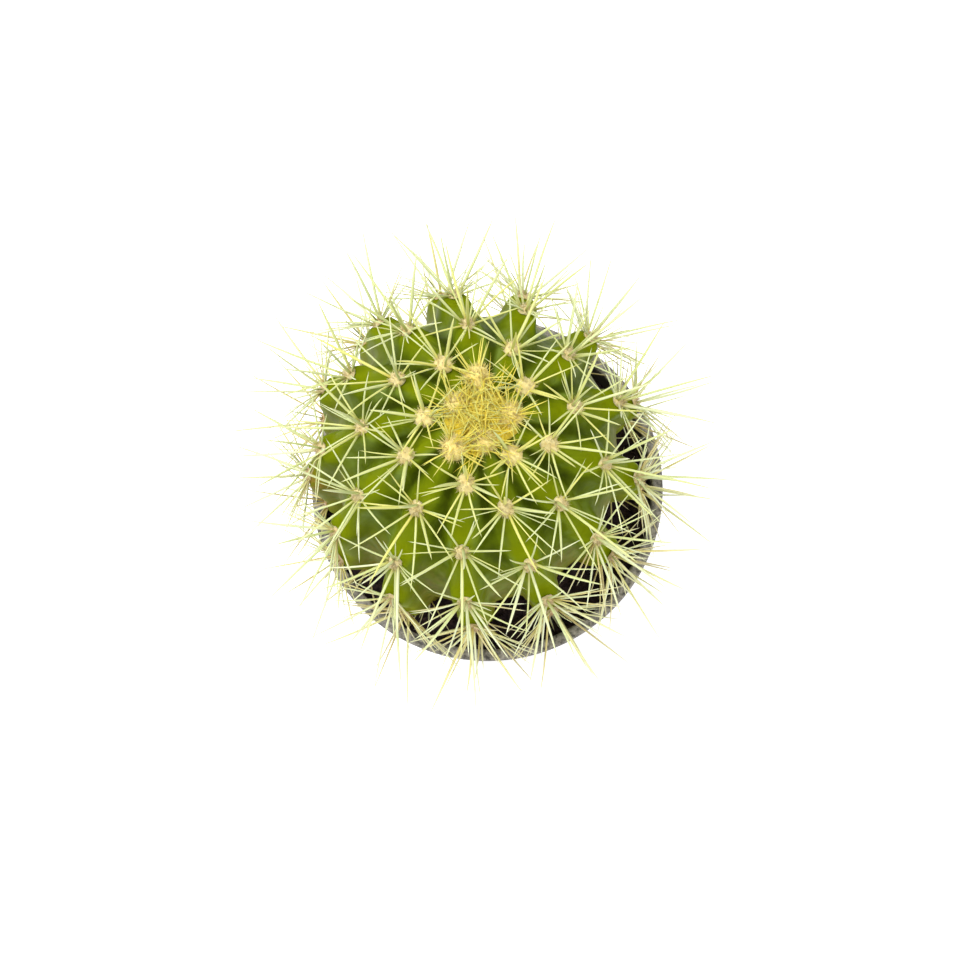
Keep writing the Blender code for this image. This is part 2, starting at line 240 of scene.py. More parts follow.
def put_in_scene(name, data):
    """A new object that holds the data, linked into the scene."""
    made = bpy.data.objects.new(name, data)
    bpy.context.scene.collection.objects.link(made)
    return made


def set_point_values(mesh, **layers):
    """Store named values, one per point, that the materials read."""
    for label, values in layers.items():
        layer = mesh.attributes.new(label, "FLOAT", "POINT")
        layer.data.foreach_set("value", values)


# ---------------------------------------------------------------- materials

def linear(code, alpha=1.0):
    """An sRGB hex colour as the linear values that a shader takes."""
    channels = [int(code[i:i + 2], 16) / 255.0 for i in (1, 3, 5)]
    bent = [c / 12.92 if c <= 0.04045 else ((c + 0.055) / 1.055) ** 2.4 for c in channels]
    return (*bent, alpha)


def add(tree, kind, links=None, values=None, stops=None, **settings):
    """Add a node with its settings, socket values, ramp stops and links."""
    made = tree.nodes.new(kind)
    for name, value in settings.items():
        setattr(made, name, value)
    for socket, value in (values or {}).items():
        made.inputs[socket].default_value = value
    for socket, source in (links or {}).items():
        tree.links.new(source, made.inputs[socket])
    if stops:
        ramp = made.color_ramp
        while len(ramp.elements) < len(stops):
            ramp.elements.new(1.0)
        for element, (place, code) in zip(ramp.elements, stops):
            element.position = place
            element.color = linear(code)
    return made


def new_material(name, **sockets):
    """A Principled material with constant socket values, and its tree and shader."""
    material = bpy.data.materials.new(name)
    material.use_nodes = True
    tree = material.node_tree
    shader = tree.nodes["Principled BSDF"]
    for socket, value in sockets.items():
        shader.inputs[socket.replace("_", " ")].default_value = value
    return material, tree, shader


def per_metre(millimetres):
    """Noise scale that puts one feature every so many millimetres."""
    return 1000.0 / millimetres


def polypropylene():
    """Moulded black-grey polypropylene: satin, scuffed, with a pale dusting and a painted sheen
    on the up-facing lip.
    """
    material, tree, shader = new_material("pot_polypropylene", IOR=1.49, Roughness=0.45)
    place = add(tree, "ShaderNodeTexCoord").outputs["Object"]
    cloud = add(tree, "ShaderNodeTexNoise", {"Vector": place},
                {"Scale": per_metre(9.0), "Detail": 6.0, "Roughness": 0.7})
    speck = add(tree, "ShaderNodeTexNoise", {"Vector": place},
                {"Scale": per_metre(1.5), "Detail": 5.0, "Roughness": 0.65})
    body = add(tree, "ShaderNodeValToRGB", {"Fac": cloud.outputs["Fac"]},
               stops=[(0.3, "#454340"), (0.7, "#504d49")])
    # Painted sheen and dusting: faces that point up, the lip most of all, are speckled towards
    # pale grey-beige, partly a real dusting and partly a painted highlight.
    up = add(tree, "ShaderNodeNewGeometry")
    facing = add(tree, "ShaderNodeSeparateXYZ", {"Vector": up.outputs["Normal"]})
    upward_dust_and_sheen = add(tree, "ShaderNodeMapRange", {"Value": facing.outputs["Z"]},
                {"From Min": 0.2, "From Max": 0.95, "To Max": 0.9})
    grains = add(tree, "ShaderNodeMapRange", {"Value": speck.outputs["Fac"]},
                 {"From Min": 0.37, "From Max": 0.68})
    dust_and_sheen = add(tree, "ShaderNodeMath", {0: upward_dust_and_sheen.outputs["Result"], 1: grains.outputs["Result"]},
               operation="MULTIPLY")
    mixed = add(tree, "ShaderNodeMix",
                {"Factor": dust_and_sheen.outputs["Value"], "A": body.outputs["Color"]},
                data_type="RGBA")
    # Pale grey-beige of the dusting and the painted sheen.
    mixed.inputs["B"].default_value = linear("#bab4a6")
    tree.links.new(mixed.outputs["Result"], shader.inputs["Base Color"])
    drawn = add(tree, "ShaderNodeMapping", {"Vector": place})
    drawn.inputs["Scale"].default_value = (1.0, 1.0, 0.12)
    scuffs = add(tree, "ShaderNodeTexNoise", {"Vector": drawn.outputs["Vector"]},
                 {"Scale": per_metre(2.5), "Detail": 4.0, "Roughness": 0.6})
    satin = add(tree, "ShaderNodeMapRange", {"Value": scuffs.outputs["Fac"]},
                {"From Min": 0.35, "From Max": 0.65, "To Min": 0.34, "To Max": 0.56})
    tree.links.new(satin.outputs["Result"], shader.inputs["Roughness"])
    bump = add(tree, "ShaderNodeBump", {"Height": speck.outputs["Fac"]},
               {"Strength": 0.25, "Distance": 0.1 * MM})
    tree.links.new(bump.outputs["Normal"], shader.inputs["Normal"])
    return material


def peat():
    """Damp milled peat: near-black with a brown-purple cast, crumbly and without gloss."""
    material, tree, shader = new_material("milled_peat", IOR=1.4, Roughness=0.95)
    place = add(tree, "ShaderNodeTexCoord").outputs["Object"]
    crumbs = add(tree, "ShaderNodeTexNoise", {"Vector": place},
                 {"Scale": per_metre(2.2), "Detail": 8.0, "Roughness": 0.7})
    colour = add(tree, "ShaderNodeValToRGB", {"Fac": crumbs.outputs["Fac"]},
                 stops=[(0.3, "#1b1214"), (0.5, "#332628"), (0.64, "#4b3936"), (0.8, "#685242")])
    tree.links.new(colour.outputs["Color"], shader.inputs["Base Color"])
    bump = add(tree, "ShaderNodeBump", {"Height": crumbs.outputs["Fac"]},
               {"Strength": 0.8, "Distance": 0.6 * MM})
    tree.links.new(bump.outputs["Normal"], shader.inputs["Normal"])
    return material


def plant_skin():
    """Waxy cactus skin: yellow-green on each crest with a painted highlight just above each
    areole, deep green in the grooves from painted shade, greyed by patches of waxy bloom and
    painted sheen, and tan with cork low down."""
    material, tree, shader = new_material(
        "cactus_skin", IOR=1.4, Roughness=0.42, Specular_IOR_Level=0.02,
        Subsurface_Weight=0.1, Subsurface_Scale=1.5 * MM,
        Subsurface_Radius=(0.8, 1.0, 0.2))
    place = add(tree, "ShaderNodeTexCoord").outputs["Object"]
    crest = add(tree, "ShaderNodeAttribute", attribute_name="crest").outputs["Fac"]
    uphill = add(tree, "ShaderNodeAttribute", attribute_name="uphill").outputs["Fac"]
    cork_share = add(tree, "ShaderNodeAttribute", attribute_name="cork").outputs["Fac"]
    mottle = add(tree, "ShaderNodeTexNoise", {"Vector": place},
                 {"Scale": per_metre(6.0), "Detail": 4.0, "Roughness": 0.55})
    shifted = add(tree, "ShaderNodeMath", {0: mottle.outputs["Fac"]}, {1: 0.5},
                  operation="SUBTRACT")
    wander = add(tree, "ShaderNodeMath", {0: shifted.outputs["Value"], 2: crest}, {1: 0.8},
                 operation="MULTIPLY_ADD")
    # Painted shade: the skin runs from deep green in the grooves, where shade falls, to
    # yellow-green on the crest line.
    body = add(tree, "ShaderNodeValToRGB", {"Fac": wander.outputs["Value"]},
               stops=[(0.0, "#303a04"), (0.2, "#445105"), (0.45, "#576608"),
                      (0.8, "#616f09"), (1.0, "#6a780b")])
    # Painted highlight: the crest is lightened to this yellow-green on the facet just above each
    # areole, as if it faced the light.
    lit_facet_colour = add(tree, "ShaderNodeMix", {"Factor": uphill, "A": body.outputs["Color"]},
                 data_type="RGBA")
    lit_facet_colour.inputs["B"].default_value = linear("#717d05")
    clouds = add(tree, "ShaderNodeTexNoise", {"Vector": place},
                 {"Scale": per_metre(11.0), "Detail": 3.0, "Roughness": 0.5,
                  "Distortion": 0.6})
    # Painted sheen and waxy bloom: grey-green patches on the rib sides, partly bloom and partly a
    # painted reflection of the pale surround.
    flank_sheen_mask = add(tree, "ShaderNodeValToRGB", {"Fac": crest},
                stops=[(0.1, "#000000"), (0.45, "#ffffff"), (0.72, "#ffffff"),
                       (0.95, "#202020")])
    wax_and_sheen_spots = add(tree, "ShaderNodeMapRange", {"Value": clouds.outputs["Fac"]},
                    {"From Min": 0.5, "From Max": 0.74, "To Max": 0.55})
    wax_and_sheen = add(tree, "ShaderNodeMath",
              {0: wax_and_sheen_spots.outputs["Result"], 1: flank_sheen_mask.outputs["Color"]},
              operation="MULTIPLY")
    waxed_and_sheened = add(tree, "ShaderNodeMix",
                {"Factor": wax_and_sheen.outputs["Value"], "A": lit_facet_colour.outputs["Result"]},
                data_type="RGBA")
    # Grey-green of the waxy bloom and the painted sheen.
    waxed_and_sheened.inputs["B"].default_value = linear("#768a48")
    grain = add(tree, "ShaderNodeTexNoise", {"Vector": place},
                {"Scale": per_metre(2.5), "Detail": 6.0, "Roughness": 0.7})
    cork_spots = add(tree, "ShaderNodeMapRange", {"Value": grain.outputs["Fac"]},
                     {"From Min": 0.34, "From Max": 0.6, "To Max": 0.9})
    cork = add(tree, "ShaderNodeMath", {0: cork_spots.outputs["Result"], 1: cork_share},
               operation="MULTIPLY")
    skin = add(tree, "ShaderNodeMix", {"Factor": cork.outputs["Value"],
                                       "A": waxed_and_sheened.outputs["Result"]}, data_type="RGBA")
    skin.inputs["B"].default_value = linear("#8a6a34")
    tree.links.new(skin.outputs["Result"], shader.inputs["Base Color"])
    pores = add(tree, "ShaderNodeTexNoise", {"Vector": place},
                {"Scale": per_metre(0.6), "Detail": 2.0})
    bump = add(tree, "ShaderNodeBump", {"Height": pores.outputs["Fac"]},
               {"Strength": 0.12, "Distance": 0.1 * MM})
    tree.links.new(bump.outputs["Normal"], shader.inputs["Normal"])
    return material


def spine_horn():
    """Hard spine: golden while young, then pale yellow-green, straw-coloured when old;
    each is tan at its root and paler towards its point, partly its own tone and partly painted
    light shining through it."""
    material, tree, shader = new_material(
        "spine_horn", IOR=1.5, Roughness=0.38, Subsurface_Weight=0.1,
        Subsurface_Scale=1.0 * MM, Subsurface_Radius=(1.0, 0.9, 0.5))
    age = add(tree, "ShaderNodeAttribute", attribute_name="age").outputs["Fac"]
    along = add(tree, "ShaderNodeAttribute", attribute_name="along").outputs["Fac"]
    tone = add(tree, "ShaderNodeValToRGB", {"Fac": age},
               stops=[(0.0, "#e8cd42"), (0.05, "#e6d75e"), (0.09, "#d4d072"),
                      (0.12, "#c8ca78"), (0.3, "#bfc684"), (0.5, "#c4cc94"),
                      (0.66, "#d2d6b0"), (0.78, "#cbc888"), (0.9, "#c8ba72"),
                      (1.0, "#b9aa74")])
    shade = add(tree, "ShaderNodeValToRGB", {"Fac": along},
                stops=[(0.0, "#e8d5a6"), (0.08, "#f6f0d8"), (0.25, "#ffffff"), (1.0, "#f4f4ea")])
    rooted = add(tree, "ShaderNodeMix", {"A": tone.outputs["Color"], "B": shade.outputs["Color"]},
                 {"Factor": 1.0}, data_type="RGBA", blend_type="MULTIPLY")
    # Painted light: grown spines turn paler towards their points, partly their own paler tone and
    # partly painted light shining through them.
    grown = add(tree, "ShaderNodeMapRange", {"Value": age},
                {"From Min": 0.08, "From Max": 0.5, "To Max": 0.4})
    clear = add(tree, "ShaderNodeMapRange", {"Value": along, "To Max": grown.outputs["Result"]},
                {"From Min": 0.35, "From Max": 0.85})
    colour = add(tree, "ShaderNodeMix", {"Factor": clear.outputs["Result"],
                                         "A": rooted.outputs["Result"]}, data_type="RGBA")
    colour.inputs["B"].default_value = linear("#eaeccb")
    tree.links.new(colour.outputs["Result"], shader.inputs["Base Color"])
    return material


def plant_wool():
    """Felted plant wool: matt and soft, golden at the crown and cream to tan with age, with tan
    specks and painted highlights.
    """
    material, tree, shader = new_material(
        "areole_wool", IOR=1.4, Roughness=0.9, Sheen_Weight=0.3, Sheen_Roughness=0.5)
    age = add(tree, "ShaderNodeAttribute", attribute_name="age").outputs["Fac"]
    place = add(tree, "ShaderNodeTexCoord").outputs["Object"]
    tuft = add(tree, "ShaderNodeTexNoise", {"Vector": place},
               {"Scale": per_metre(1.4), "Detail": 4.0, "Roughness": 0.7})
    tone = add(tree, "ShaderNodeValToRGB", {"Fac": age},
               stops=[(0.0, "#ecd22c"), (0.02, "#ecde5c"), (0.06, "#ecde8e"),
                      (0.1, "#dccf92"), (0.25, "#d6ca99"), (0.4, "#d3c797"),
                      (0.7, "#d0bd96"), (1.0, "#c3a982")])
    # Painted highlight: a noise runs the wool from tan specks, its own colour, to white, which is
    # painted highlight.
    depth = add(tree, "ShaderNodeValToRGB", {"Fac": tuft.outputs["Fac"]},
                stops=[(0.32, "#ecdab2"), (0.48, "#f8f1de"), (0.62, "#ffffff")])
    colour = add(tree, "ShaderNodeMix", {"A": tone.outputs["Color"], "B": depth.outputs["Color"]},
                 {"Factor": 0.8}, data_type="RGBA", blend_type="MULTIPLY")
    tree.links.new(colour.outputs["Result"], shader.inputs["Base Color"])
    return material


def backlit_acrylic():
    """Backlit white acrylic: a plain floor that stays white under the plant."""
    material, tree, shader = new_material(
        "backlit_acrylic", Roughness=0.9, Emission_Strength=FLOOR_GLOW)
    shader.inputs["Base Color"].default_value = linear("#f4f4f3")
    shader.inputs["Emission Color"].default_value = (1.0, 1.0, 1.0, 1.0)
    return material


# ---------------------------------------------------------------- mesh building

class Sheaf:
    """Collects tubes and tufts, with a value per point for each named attribute."""

    def __init__(self):
        self.points = []
        self.faces = []
        self.along = []
        self.age = []

    def tube(self, line, radii, age, sides=6):
        """A closed tapering tube along a line of points that ends in a point."""
        first = len(self.points)
        run = (line[-1] - line[0]).normalized()
        across = run.orthogonal().normalized()
        other = run.cross(across)
        rings = len(line) - 1
        for step in range(rings):
            for side in range(sides):
                turn = FULL_TURN * side / sides
                reach = across * math.cos(turn) + other * math.sin(turn)
                self.points.append(line[step] + reach * radii[step])
                self.along.append(step / rings)
                self.age.append(age)
        self.points.append(line[-1])
        self.along.append(1.0)
        self.age.append(age)
        tip = len(self.points) - 1
        for step in range(rings):
            low = first + step * sides
            for side in range(sides):
                here, there = low + side, low + (side + 1) % sides
                if step < rings - 1:
                    self.faces.append((here, there, there + sides, here + sides))
                else:
                    self.faces.append((here, there, tip))
        self.faces.append(tuple(first + side for side in reversed(range(sides))))

    def lump(self, matrix, age, roughness, seed, across, up, cut=-0.25):
        """A rough closed dome: a ball with its underside pressed flat."""
        first = len(self.points)
        for row in range(1, up):
            polar = math.pi * row / up
            for column in range(across):
                turn = FULL_TURN * column / across
                spot = Vector((math.sin(polar) * math.cos(turn),
                               math.sin(polar) * math.sin(turn), math.cos(polar)))
                self.place_lump_point(spot, matrix, age, roughness, seed, cut)
        for pole in (1.0, -1.0):
            self.place_lump_point(UP * pole, matrix, age, roughness, seed, cut)
        top, bottom = len(self.points) - 2, len(self.points) - 1
        for column in range(across):
            after = (column + 1) % across
            self.faces.append((top, first + column, first + after))
            for row in range(up - 2):
                low = first + row * across
                self.faces.append((low + column, low + across + column,
                                   low + across + after, low + after))
            last = first + (up - 2) * across
            self.faces.append((bottom, last + after, last + column))

    def place_lump_point(self, spot, matrix, age, roughness, seed, cut):
        """One point of a lump, pushed in or out by two sizes of noise."""
        rough = noise.noise(spot * LUMP_COARSE + Vector((seed, seed * 0.7, 0.0)))
        fine = noise.noise(spot * LUMP_FINE + Vector((0.0, seed, seed * 1.3)))
        swollen = spot * (1.0 + roughness * (0.7 * rough + 0.5 * fine))
        swollen.z = max(swollen.z, cut)
        self.points.append(matrix @ swollen)
        self.along.append(0.5)
        self.age.append(age)

    def finish(self, name, material, slot, *replaced):
        """Make the piece, put it on the root body and let it stand for its CAD nodes."""
        mesh = bpy.data.meshes.new(name)
        mesh.from_pydata([tuple(point) for point in self.points], [], self.faces)
        set_point_values(mesh, along=self.along, age=self.age)
        mesh.shade_smooth()
        add_piece(name, mesh, material, slot, *replaced)


def add_piece(name, mesh, material, slot, *replaced):
    """A piece that rides the root body and, where nodes are named, stands for them."""
    mesh.materials.append(material)
    piece = put_in_scene(name, mesh)
    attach(piece, "root")
    if replaced:
        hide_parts(*replaced)
    return piece


def rounded(outline):
    """An outline with its corners rounded: each point is (radius, height, corner radius)."""
    smooth = []
    for index, (radius, height, corner) in enumerate(outline):
        here = Vector((radius, height))
        if corner == 0.0 or index in (0, len(outline) - 1):
            smooth.append(here)
            continue
        back = Vector(outline[index - 1][:2]) - here
        ahead = Vector(outline[index + 1][:2]) - here
        reach = min(corner, back.length * 0.49, ahead.length * 0.49)
        start, end = here + back.normalized() * reach, here + ahead.normalized() * reach
        for step in range(CORNER_STEPS + 1):
            share = step / CORNER_STEPS
            first = start.lerp(here, share)
            smooth.append(first.lerp(here.lerp(end, share), share))
    return smooth


def turned(outline, steps):
    """A closed turned mesh from an outline that starts and ends on the axis."""
    mesh = bpy.data.meshes.new("turned")
    points = [(0.0, 0.0, outline[0].y)]
    for spot in outline[1:-1]:
        for step in range(steps):
            turn = FULL_TURN * step / steps
            points.append((spot.x * math.cos(turn), spot.x * math.sin(turn), spot.y))
    points.append((0.0, 0.0, outline[-1].y))
    faces = []
    for step in range(steps):
        after = (step + 1) % steps
        faces.append((0, 1 + step, 1 + after))
        for ring in range(len(outline) - 3):
            low = 1 + ring * steps
            faces.append((low + step, low + steps + step, low + steps + after, low + after))
        last = 1 + (len(outline) - 3) * steps
        faces.append((len(points) - 1, last + after, last + step))
    mesh.from_pydata(points, [], faces)
    return mesh


# ---------------------------------------------------------------- pot and potting mix

def wall_radius(height):
    """Outer radius of the tapered wall below the collar."""
    top = POT_HEIGHT - COLLAR_HEIGHT
    top_radius = LIP_RADIUS - LIP_WIDTH - COLLAR_STEP + POT_WALL
    return POT_BASE_RADIUS + (top_radius - POT_BASE_RADIUS) * height / top


def make_pot(material):
    """The nursery pot, with every moulded edge rounded and its drain holes cut."""
    collar_outer = LIP_RADIUS - LIP_WIDTH + POT_WALL
    collar_inner = LIP_RADIUS - LIP_WIDTH
    collar_foot = POT_HEIGHT - COLLAR_HEIGHT
    ring_inner = DRAIN_RING_RADIUS - DRAIN_RING_HALF_WIDTH
    ring_outer = DRAIN_RING_RADIUS + DRAIN_RING_HALF_WIDTH
    outline = rounded([
        (0.0, POT_FLOOR, 0.0),
        (wall_radius(POT_FLOOR) - POT_WALL, POT_FLOOR, 1.5 * MM),
        (wall_radius(collar_foot) - POT_WALL, collar_foot, SOFT_EDGE),
        (collar_inner, collar_foot + COLLAR_STEP, SOFT_EDGE),
        (collar_inner, POT_HEIGHT, 1.2 * MM),
        (LIP_RADIUS, POT_HEIGHT, SOFT_EDGE),
        (LIP_RADIUS, POT_HEIGHT - LIP_THICKNESS, SOFT_EDGE),
        (collar_outer, POT_HEIGHT - LIP_THICKNESS, CRISP_EDGE),
        (collar_outer, collar_foot, SOFT_EDGE),
        (wall_radius(collar_foot), collar_foot, 0.3 * MM),
        (POT_BASE_RADIUS, 0.0, 1.6 * MM),
        (ring_outer, 0.0, CRISP_EDGE),
        (ring_outer - DRAIN_RISE, DRAIN_RISE, CRISP_EDGE),
        (ring_inner + DRAIN_RISE, DRAIN_RISE, CRISP_EDGE),
        (ring_inner, 0.0, CRISP_EDGE),
        (0.0, 0.0, 0.0),
    ])
    mesh = turned(outline, POT_STEPS)
    pot = add_piece("nursery_pot", mesh, material, "pot_plastic", "pot")
    bm = bmesh.new()
    for index in range(DRAIN_HOLES):
        angle = FULL_TURN * index / DRAIN_HOLES
        place = Matrix.Translation((
            DRAIN_RING_RADIUS * math.cos(angle), DRAIN_RING_RADIUS * math.sin(angle), 0.0))
        bmesh.ops.create_cone(
            bm, cap_ends=True, segments=32, radius1=DRAIN_HOLE_RADIUS,
            radius2=DRAIN_HOLE_RADIUS, depth=4.0 * POT_FLOOR, matrix=place)
    drill_mesh = bpy.data.meshes.new("drill")
    bm.to_mesh(drill_mesh)
    bm.free()
    drill = put_in_scene("drill", drill_mesh)
    boolean = pot.modifiers.new("drain_holes", "BOOLEAN")
    boolean.operation = "DIFFERENCE"
    boolean.object = drill
    graph = bpy.context.evaluated_depsgraph_get()
    cut_mesh = bpy.data.meshes.new_from_object(pot.evaluated_get(graph))
    pot.modifiers.clear()
    pot.data = cut_mesh
    bpy.data.objects.remove(drill)
    pot.data.shade_smooth()
    pot.data.set_sharp_from_angle(angle=SHARP_ANGLE)


def stem_outline(height):
    """Radius of the rib crests at a height, and the middle of the stem there."""
    drop = (height - STEM_CENTRE.z) / STEM_DROP
    radius = STEM_RADIUS * math.sqrt(max(0.0, 1.0 - drop * drop))
    shift = STEM_LEAN * (height - STEM_CENTRE.z)
    return radius, STEM_CENTRE.xy + shift


def soil_height(x, y):
    """Height of the lumpy surface, sunk under the stem so that the stem stands in it."""
    spot = Vector((x, y, 0.0))
    lumps = sum(noise.noise(spot / size) * share for size, share in SOIL_NOISE)
    radius, middle = stem_outline(SOIL_TOP)
    inside = radius - (Vector((x, y)) - middle).length
    sunk = clamp(inside / SINK_WIDTH) * (STEM_FOOT + SINK_BELOW_FOOT)
    edge = clamp((SOIL_RADIUS - math.hypot(x, y)) / EDGE_WIDTH)
    lumps *= EDGE_LUMPS + (1.0 - EDGE_LUMPS) * edge
    return SOIL_TOP + SOIL_LUMP * (lumps - SOIL_SETTLED) - sunk


def make_soil(material):
    """The potting mix: a plug that fills the pot, with a crumbly top."""
    collar_foot = POT_HEIGHT - COLLAR_HEIGHT
    floor_height = POT_FLOOR + GAP
    outline = [Vector((SOIL_RADIUS * ring / SOIL_RINGS, SOIL_TOP))
               for ring in range(SOIL_RINGS + 1)]
    outline += [
        Vector((SOIL_RADIUS, collar_foot + COLLAR_STEP + GAP)),
        Vector((wall_radius(collar_foot) - POT_WALL - GAP, collar_foot)),
        Vector((wall_radius(floor_height) - POT_WALL - GAP, floor_height)),
        Vector((0.0, floor_height)),
    ]
    mesh = turned(outline, SOIL_STEPS)
    for vertex in mesh.vertices:
        if vertex.co.z > SOIL_TOP - GAP:
            vertex.co.z = soil_height(vertex.co.x, vertex.co.y)
    mesh.shade_smooth()
    add_piece("peat_plug", mesh, material, "peat_mix", "potting_mix")


def make_crumbs(material):
    """Loose crumbs of peat on the surface, mostly small, out to the pot's wall."""
    crumbs = Sheaf()
    smallest, largest = CRUMB_SIZES
    stem_radius, middle = stem_outline(SOIL_TOP)
    placed = 0
    while placed < CRUMBS:
        turn = rng.uniform(0.0, FULL_TURN)
        reach = (SOIL_RADIUS - CRUMB_WALL_ROOM) * math.sqrt(rng.uniform(0.2, 1.0))
        spot = Vector((reach * math.cos(turn), reach * math.sin(turn)))
        size = smallest + (largest - smallest) * rng.random() ** 3
        under_stem = (spot - middle).length < stem_radius - CRUMB_STEM_ROOM
        if under_stem or reach + size > SOIL_RADIUS:
            continue
        height = soil_height(spot.x, spot.y)
        shape = Matrix.Diagonal(
            (size, size * rng.uniform(0.6, 1.0), size * rng.uniform(0.5, 0.9)))
        spin = Matrix.Rotation(rng.uniform(0.0, 6.3), 4, rng.choice("XYZ"))
        matrix = Matrix.Translation((spot.x, spot.y, height + size * 0.25)) @ spin
        crumbs.lump(matrix @ shape.to_4x4(), age=0.5, roughness=0.5,
                    seed=rng.uniform(0, 99), across=7, up=5, cut=-0.8)
        placed += 1
    crumbs.finish("peat_crumbs", material, "peat_mix")


# ---------------------------------------------------------------- stem

def crest_share(theta, phi):
    """1 on the crest line of a rib and 0 in the bottom of a groove."""
    share = math.sin(RIBS * (phi - FIRST_RIB_ANGLE - RIB_TWIST * theta) / 2.0) ** 2
    crease = share ** GROOVE_SHARPNESS
    wall = clamp((share - WALL_FROM) / WALL_OVER)
    trough = share + (wall * wall * (3.0 - 2.0 * wall) - share) * WALL_STEEPNESS
    widened = clamp((theta - GROOVE_WIDENS_FROM) / GROOVE_WIDENS_OVER)
    return 1.0 - crease - (trough - crease) * widened


def stem_point(theta, phi):
    """A point of the ribbed globe: theta is measured from the crown, phi around the stem."""
    across = math.sin(theta)
    fade = min(1.0, across / math.sin(FULL_DEPTH_ANGLE))
    depth = RIB_DEPTH * fade ** DEPTH_GROWTH
    radius = STEM_RADIUS * across - depth * (1.0 - crest_share(theta, phi))
    height = (STEM_RISE if theta < math.pi / 2.0 else STEM_DROP) * math.cos(theta)
    height -= CROWN_DIP * math.exp(-((theta / CROWN_DIP_ANGLE) ** 2))
    lean = STEM_LEAN * height
    return STEM_CENTRE + Vector((
        radius * math.cos(phi) + lean.x, radius * math.sin(phi) + lean.y, height))


def areole_row_phase(theta, phi):
    """Where a point lies between one areole of its rib and the next: 0 at each areole."""
    rib = round(RIBS * (phi - FIRST_RIB_ANGLE - RIB_TWIST * theta) / FULL_TURN) % RIBS
    turn = next(index for index in range(RIBS) if (START_RIB + RIB_JUMP * index) % RIBS == rib)
    return (theta - FIRST_AREOLE_ANGLE - AREOLE_STEP * turn) / (AREOLE_STEP * RIBS)


def chin(phase):
    """Swelling of the rib below an areole (phase 0), sinking to a notch above the next."""
    if phase < NOTCH_PHASE:
        return math.cos(math.pi * phase / NOTCH_PHASE)
    return -math.cos(math.pi * (phase - NOTCH_PHASE) / (1.0 - NOTCH_PHASE))


def make_stem(material):
    """The ribbed globe with a low chin under every areole and a faint ripple in its skin.

    Its values say how near a point is to a crest, with painted shade kept deepest in the grooves
    near the crown, how near to the painted highlight on the facet just above each areole, and
    how corky it is."""
    foot_angle = math.acos((SOIL_TOP - STEM_FOOT - STEM_CENTRE.z) / STEM_DROP)
    bm = bmesh.new()
    bmesh.ops.create_uvsphere(bm, u_segments=STEM_COLUMNS, v_segments=STEM_ROWS, radius=1.0)
    last_ring = math.pi * (1.0 - 1.0 / STEM_ROWS)
    crest_and_groove_shade, uphills, corks = [], [], []
    for vertex in bm.verts:
        polar = math.acos(max(-1.0, min(1.0, vertex.co.z)))
        at_foot = polar > math.pi - 1e-4
        theta = foot_angle * min(1.0, polar / last_ring)
        phi = math.atan2(vertex.co.y, vertex.co.x) + FIRST_RIB_ANGLE + RIB_TWIST * theta
        spot = stem_point(theta, phi)
        share = crest_share(theta, phi) if theta > POLE_ANGLE else 0.5
        out = (spot - STEM_CENTRE).normalized()
        phase = areole_row_phase(theta, phi) % 1.0
        swell = CHIN_HEIGHT * (chin(phase) - 1.0) * share
        bulge = math.cos(FULL_TURN * (phase - SWELL_PHASE))
        swell += FLANK_SWELL * bulge * 4.0 * share * (1.0 - share)
        swell *= min(1.0, math.sin(theta) / 0.5)
        ripple = noise.noise(spot / RIPPLE_COARSE) + 0.5 * noise.noise(spot / RIPPLE_FINE)
        vertex.co = spot + out * (swell + SKIN_RIPPLE * ripple)
        if at_foot:
            radius, middle = stem_outline(SOIL_TOP - STEM_FOOT)
            vertex.co = Vector((middle.x, middle.y, SOIL_TOP - STEM_FOOT))
        vertex.co.z = max(vertex.co.z, SOIL_TOP - STEM_FOOT)
        # Painted shade: the groove values, drawn dark by the material, are raised lower down, so
        # the grooves near the crown stay darkest.
        groove_shade_eased = clamp((theta - GROOVE_SHADE_EASES_FROM) / GROOVE_SHADE_EASES_OVER)
        crest_and_groove_shade.append(share + (1.0 - share) * GROOVE_SHADE_EASING * groove_shade_eased)
        # Painted highlight on the crest facet just above each areole.
        uphills.append(share ** 3 * max(0.0, 1.0 - abs(phase - LIT_FACET_PHASE) / LIT_FACET_SPAN))
        drop = (STEM_CENTRE.z - spot.z) / STEM_RADIUS
        patch = math.exp(-((spot - CORK_SPOT).length / CORK_REACH) ** 2)
        worn = clamp((theta - GROOVE_TAN_FROM) / GROOVE_TAN_OVER)
        tan_share = GROOVE_TAN * (1.0 - share) * worn
        corks.append(min(1.0, max(0.0, drop * FOOT_CORK) + patch + tan_share))
    mesh = bpy.data.meshes.new("ribbed_stem")
    bm.to_mesh(mesh)
    bm.free()
    set_point_values(mesh, crest=crest_and_groove_shade, uphill=uphills, cork=corks)
    mesh.shade_smooth()
    add_piece("ribbed_stem", mesh, material, "stem_skin", "stem")


# ---------------------------------------------------------------- spines and wool

def areole(index):
    """Angle from the crown, angle around the stem, rib number and row of one areole."""
    theta = FIRST_AREOLE_ANGLE + AREOLE_STEP * index
    rib = (START_RIB + RIB_JUMP * index) % RIBS
    phi = FIRST_RIB_ANGLE + RIB_TWIST * theta + FULL_TURN * rib / RIBS
    return theta, phi, rib, index // RIBS


def areole_frame(theta, phi):
    """Axes on the rib's crest: x runs down the rib, z stands straight out of it."""
    step = math.radians(1.5)
    above = stem_point(theta - step, phi - RIB_TWIST * step)
    below = stem_point(theta + step, phi + RIB_TWIST * step)
    down = (below - above).normalized()
    around = Vector((-math.sin(phi), math.cos(phi), 0.0))
    outward = down.cross(around).normalized()
    side = outward.cross(down).normalized()
    axes = Matrix((down, side, outward)).transposed().to_4x4()
    return Matrix.Translation(stem_point(theta, phi) - outward * GAP) @ axes


